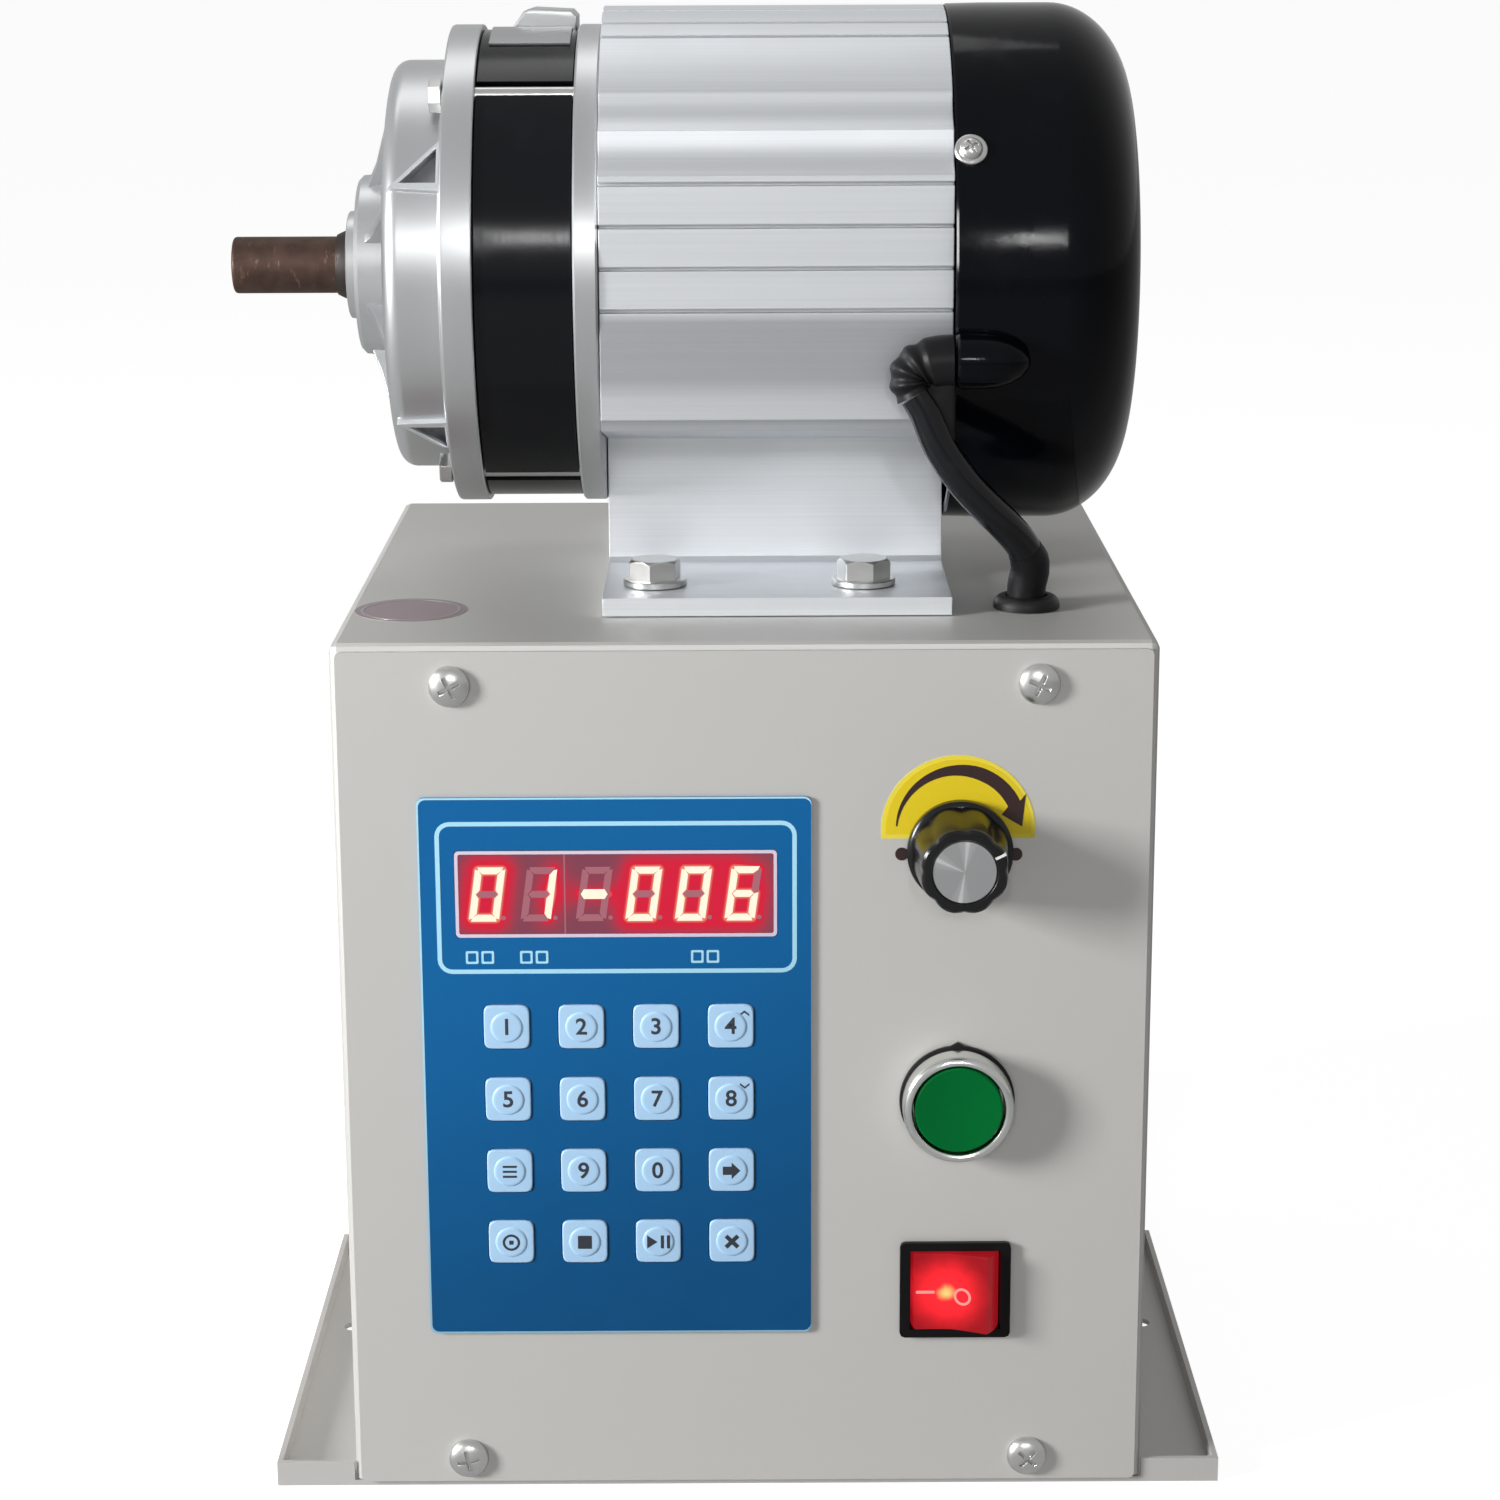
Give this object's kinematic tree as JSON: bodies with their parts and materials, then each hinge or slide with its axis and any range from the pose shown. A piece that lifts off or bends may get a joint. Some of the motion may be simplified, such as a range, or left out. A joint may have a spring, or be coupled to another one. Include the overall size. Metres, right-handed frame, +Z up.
{
  "type": "wire coil winding machine",
  "caption": "Bench machine that winds wire coils: a sheet metal cabinet with a keypad, display, knob, button and rocker, and a planetary gear motor with an output spindle on its roof.",
  "frame": {"origin": "on the underside of the base tray, half-way between the mounting holes of its two wings", "axes": "+X to the operator's right, +Y from the front panel back into the cabinet, +Z up; the output spindle points along -X"},
  "size_m": [0.278, 0.2408, 0.4031],
  "materials": {
    "cabinet_paint": "satin powder coat",
    "tray_paint": "satin powder coat",
    "zinc": "bright zinc plate",
    "overlay_blue": "printed film",
    "window_red": "dark red, clear",
    "key_blue": "embossed film",
    "board_green": "solder resist",
    "knob_black": "moulded",
    "chrome": "polished",
    "button_green": "moulded",
    "rocker_black": "moulded",
    "rocker_red": "translucent, lit",
    "cast_aluminium": "cast, satin",
    "extruded_aluminium": "extruded, satin",
    "gloss_black": "glossy enamel",
    "core_steel": "laminated core",
    "shaft_steel": "ground, oiled",
    "gear_steel": "machined",
    "rubber_black": "matt"
  },
  "bodies": {
    "machine": {"base_tray": "tray_paint", "cabinet_shell": "cabinet_paint", "front_panel": "cabinet_paint", "rear_panel": "cabinet_paint", "mains_inlet": "rocker_black", "panel_screw_1": "zinc", "panel_screw_2": "zinc", "panel_screw_3": "zinc", "panel_screw_4": "zinc", "keypad_overlay": "overlay_blue", "display_window": "window_red", "control_board": "board_green", "potentiometer": "zinc", "button_bezel": "chrome", "rocker_housing": "rocker_black", "motor_frame": "extruded_aluminium", "motor_end_cover": "gloss_black", "stator": "core_steel", "rotor_front_bearing": "gear_steel", "rotor_rear_bearing": "gear_steel", "rear_flange": "cast_aluminium", "ring_gear": "gloss_black", "gearbox_cover": "cast_aluminium", "output_bearing": "gear_steel", "shaft_seal": "rubber_black", "foot_bolt_1": "zinc", "foot_bolt_2": "zinc", "foot_bolt_3": "zinc", "foot_bolt_4": "zinc", "tie_bolt_1": "zinc", "tie_bolt_2": "zinc", "tie_bolt_3": "zinc", "tie_bolt_4": "zinc", "cable_boot": "rubber_black", "motor_cable": "rubber_black", "cable_grommet": "rubber_black"},
    "knob": {"speed_knob": "knob_black"},
    "push_button": {"green_button": "button_green"},
    "rocker": {"rocker_paddle": "rocker_red"},
    "spindle": {"planet_carrier": "shaft_steel"},
    "rotor": {"rotor": "core_steel"},
    "planet_1": {"planet_1": "gear_steel"},
    "planet_2": {"planet_2": "gear_steel"},
    "planet_3": {"planet_3": "gear_steel"},
    "key_01": {"key_01": "key_blue"},
    "key_02": {"key_02": "key_blue"},
    "key_03": {"key_03": "key_blue"},
    "key_04": {"key_04": "key_blue"},
    "key_05": {"key_05": "key_blue"},
    "key_06": {"key_06": "key_blue"},
    "key_07": {"key_07": "key_blue"},
    "key_08": {"key_08": "key_blue"},
    "key_09": {"key_09": "key_blue"},
    "key_10": {"key_10": "key_blue"},
    "key_11": {"key_11": "key_blue"},
    "key_12": {"key_12": "key_blue"},
    "key_13": {"key_13": "key_blue"},
    "key_14": {"key_14": "key_blue"},
    "key_15": {"key_15": "key_blue"},
    "key_16": {"key_16": "key_blue"}
  },
  "joints": [
    {"name": "knob_turn", "type": "hinge", "parent": "machine", "child": "knob", "pos_m": [0.0574, -0.108, 0.1849], "axis": [0, 1, 0], "range_deg": [-215, 85]},
    {"name": "button_press", "type": "slide", "parent": "machine", "child": "push_button", "axis": [0, 1, 0], "range_m": [0, 0.003], "stiffness_N_per_m": 1200, "springref_m": -0.0008},
    {"name": "rocker_tilt", "type": "hinge", "parent": "machine", "child": "rocker", "pos_m": [0.0574, -0.1058, 0.0592], "axis": [0, 0, 1], "range_deg": [0, 22]},
    {"name": "spindle_spin", "type": "hinge", "parent": "machine", "child": "spindle", "pos_m": [0, 0, 0.3301], "axis": [1, 0, 0], "continuous": true},
    {"name": "rotor_spin", "type": "hinge", "parent": "machine", "child": "rotor", "pos_m": [0, 0, 0.3301], "axis": [1, 0, 0], "continuous": true},
    {"name": "planet_1_spin", "type": "hinge", "parent": "spindle", "child": "planet_1", "pos_m": [0, 0, 0.36385], "axis": [1, 0, 0], "continuous": true},
    {"name": "planet_2_spin", "type": "hinge", "parent": "spindle", "child": "planet_2", "pos_m": [0, -0.02923, 0.31322], "axis": [1, 0, 0], "continuous": true},
    {"name": "planet_3_spin", "type": "hinge", "parent": "spindle", "child": "planet_3", "pos_m": [0, 0.02923, 0.31322], "axis": [1, 0, 0], "continuous": true},
    {"name": "key_01_press", "type": "slide", "parent": "machine", "child": "key_01", "axis": [0, 1, 0], "range_m": [0, 0.0005], "stiffness_N_per_m": 3000, "springref_m": -0.0002},
    {"name": "key_02_press", "type": "slide", "parent": "machine", "child": "key_02", "axis": [0, 1, 0], "range_m": [0, 0.0005], "stiffness_N_per_m": 3000, "springref_m": -0.0002},
    {"name": "key_03_press", "type": "slide", "parent": "machine", "child": "key_03", "axis": [0, 1, 0], "range_m": [0, 0.0005], "stiffness_N_per_m": 3000, "springref_m": -0.0002},
    {"name": "key_04_press", "type": "slide", "parent": "machine", "child": "key_04", "axis": [0, 1, 0], "range_m": [0, 0.0005], "stiffness_N_per_m": 3000, "springref_m": -0.0002},
    {"name": "key_05_press", "type": "slide", "parent": "machine", "child": "key_05", "axis": [0, 1, 0], "range_m": [0, 0.0005], "stiffness_N_per_m": 3000, "springref_m": -0.0002},
    {"name": "key_06_press", "type": "slide", "parent": "machine", "child": "key_06", "axis": [0, 1, 0], "range_m": [0, 0.0005], "stiffness_N_per_m": 3000, "springref_m": -0.0002},
    {"name": "key_07_press", "type": "slide", "parent": "machine", "child": "key_07", "axis": [0, 1, 0], "range_m": [0, 0.0005], "stiffness_N_per_m": 3000, "springref_m": -0.0002},
    {"name": "key_08_press", "type": "slide", "parent": "machine", "child": "key_08", "axis": [0, 1, 0], "range_m": [0, 0.0005], "stiffness_N_per_m": 3000, "springref_m": -0.0002},
    {"name": "key_09_press", "type": "slide", "parent": "machine", "child": "key_09", "axis": [0, 1, 0], "range_m": [0, 0.0005], "stiffness_N_per_m": 3000, "springref_m": -0.0002},
    {"name": "key_10_press", "type": "slide", "parent": "machine", "child": "key_10", "axis": [0, 1, 0], "range_m": [0, 0.0005], "stiffness_N_per_m": 3000, "springref_m": -0.0002},
    {"name": "key_11_press", "type": "slide", "parent": "machine", "child": "key_11", "axis": [0, 1, 0], "range_m": [0, 0.0005], "stiffness_N_per_m": 3000, "springref_m": -0.0002},
    {"name": "key_12_press", "type": "slide", "parent": "machine", "child": "key_12", "axis": [0, 1, 0], "range_m": [0, 0.0005], "stiffness_N_per_m": 3000, "springref_m": -0.0002},
    {"name": "key_13_press", "type": "slide", "parent": "machine", "child": "key_13", "axis": [0, 1, 0], "range_m": [0, 0.0005], "stiffness_N_per_m": 3000, "springref_m": -0.0002},
    {"name": "key_14_press", "type": "slide", "parent": "machine", "child": "key_14", "axis": [0, 1, 0], "range_m": [0, 0.0005], "stiffness_N_per_m": 3000, "springref_m": -0.0002},
    {"name": "key_15_press", "type": "slide", "parent": "machine", "child": "key_15", "axis": [0, 1, 0], "range_m": [0, 0.0005], "stiffness_N_per_m": 3000, "springref_m": -0.0002},
    {"name": "key_16_press", "type": "slide", "parent": "machine", "child": "key_16", "axis": [0, 1, 0], "range_m": [0, 0.0005], "stiffness_N_per_m": 3000, "springref_m": -0.0002}
  ],
  "couplings": [
    {"joint": "rotor_spin", "follows": "spindle_spin", "ratio": 3.8571},
    {"joint": "planet_1_spin", "follows": "spindle_spin", "ratio": -3.0769},
    {"joint": "planet_2_spin", "follows": "spindle_spin", "ratio": -3.0769},
    {"joint": "planet_3_spin", "follows": "spindle_spin", "ratio": -3.0769}
  ]
}
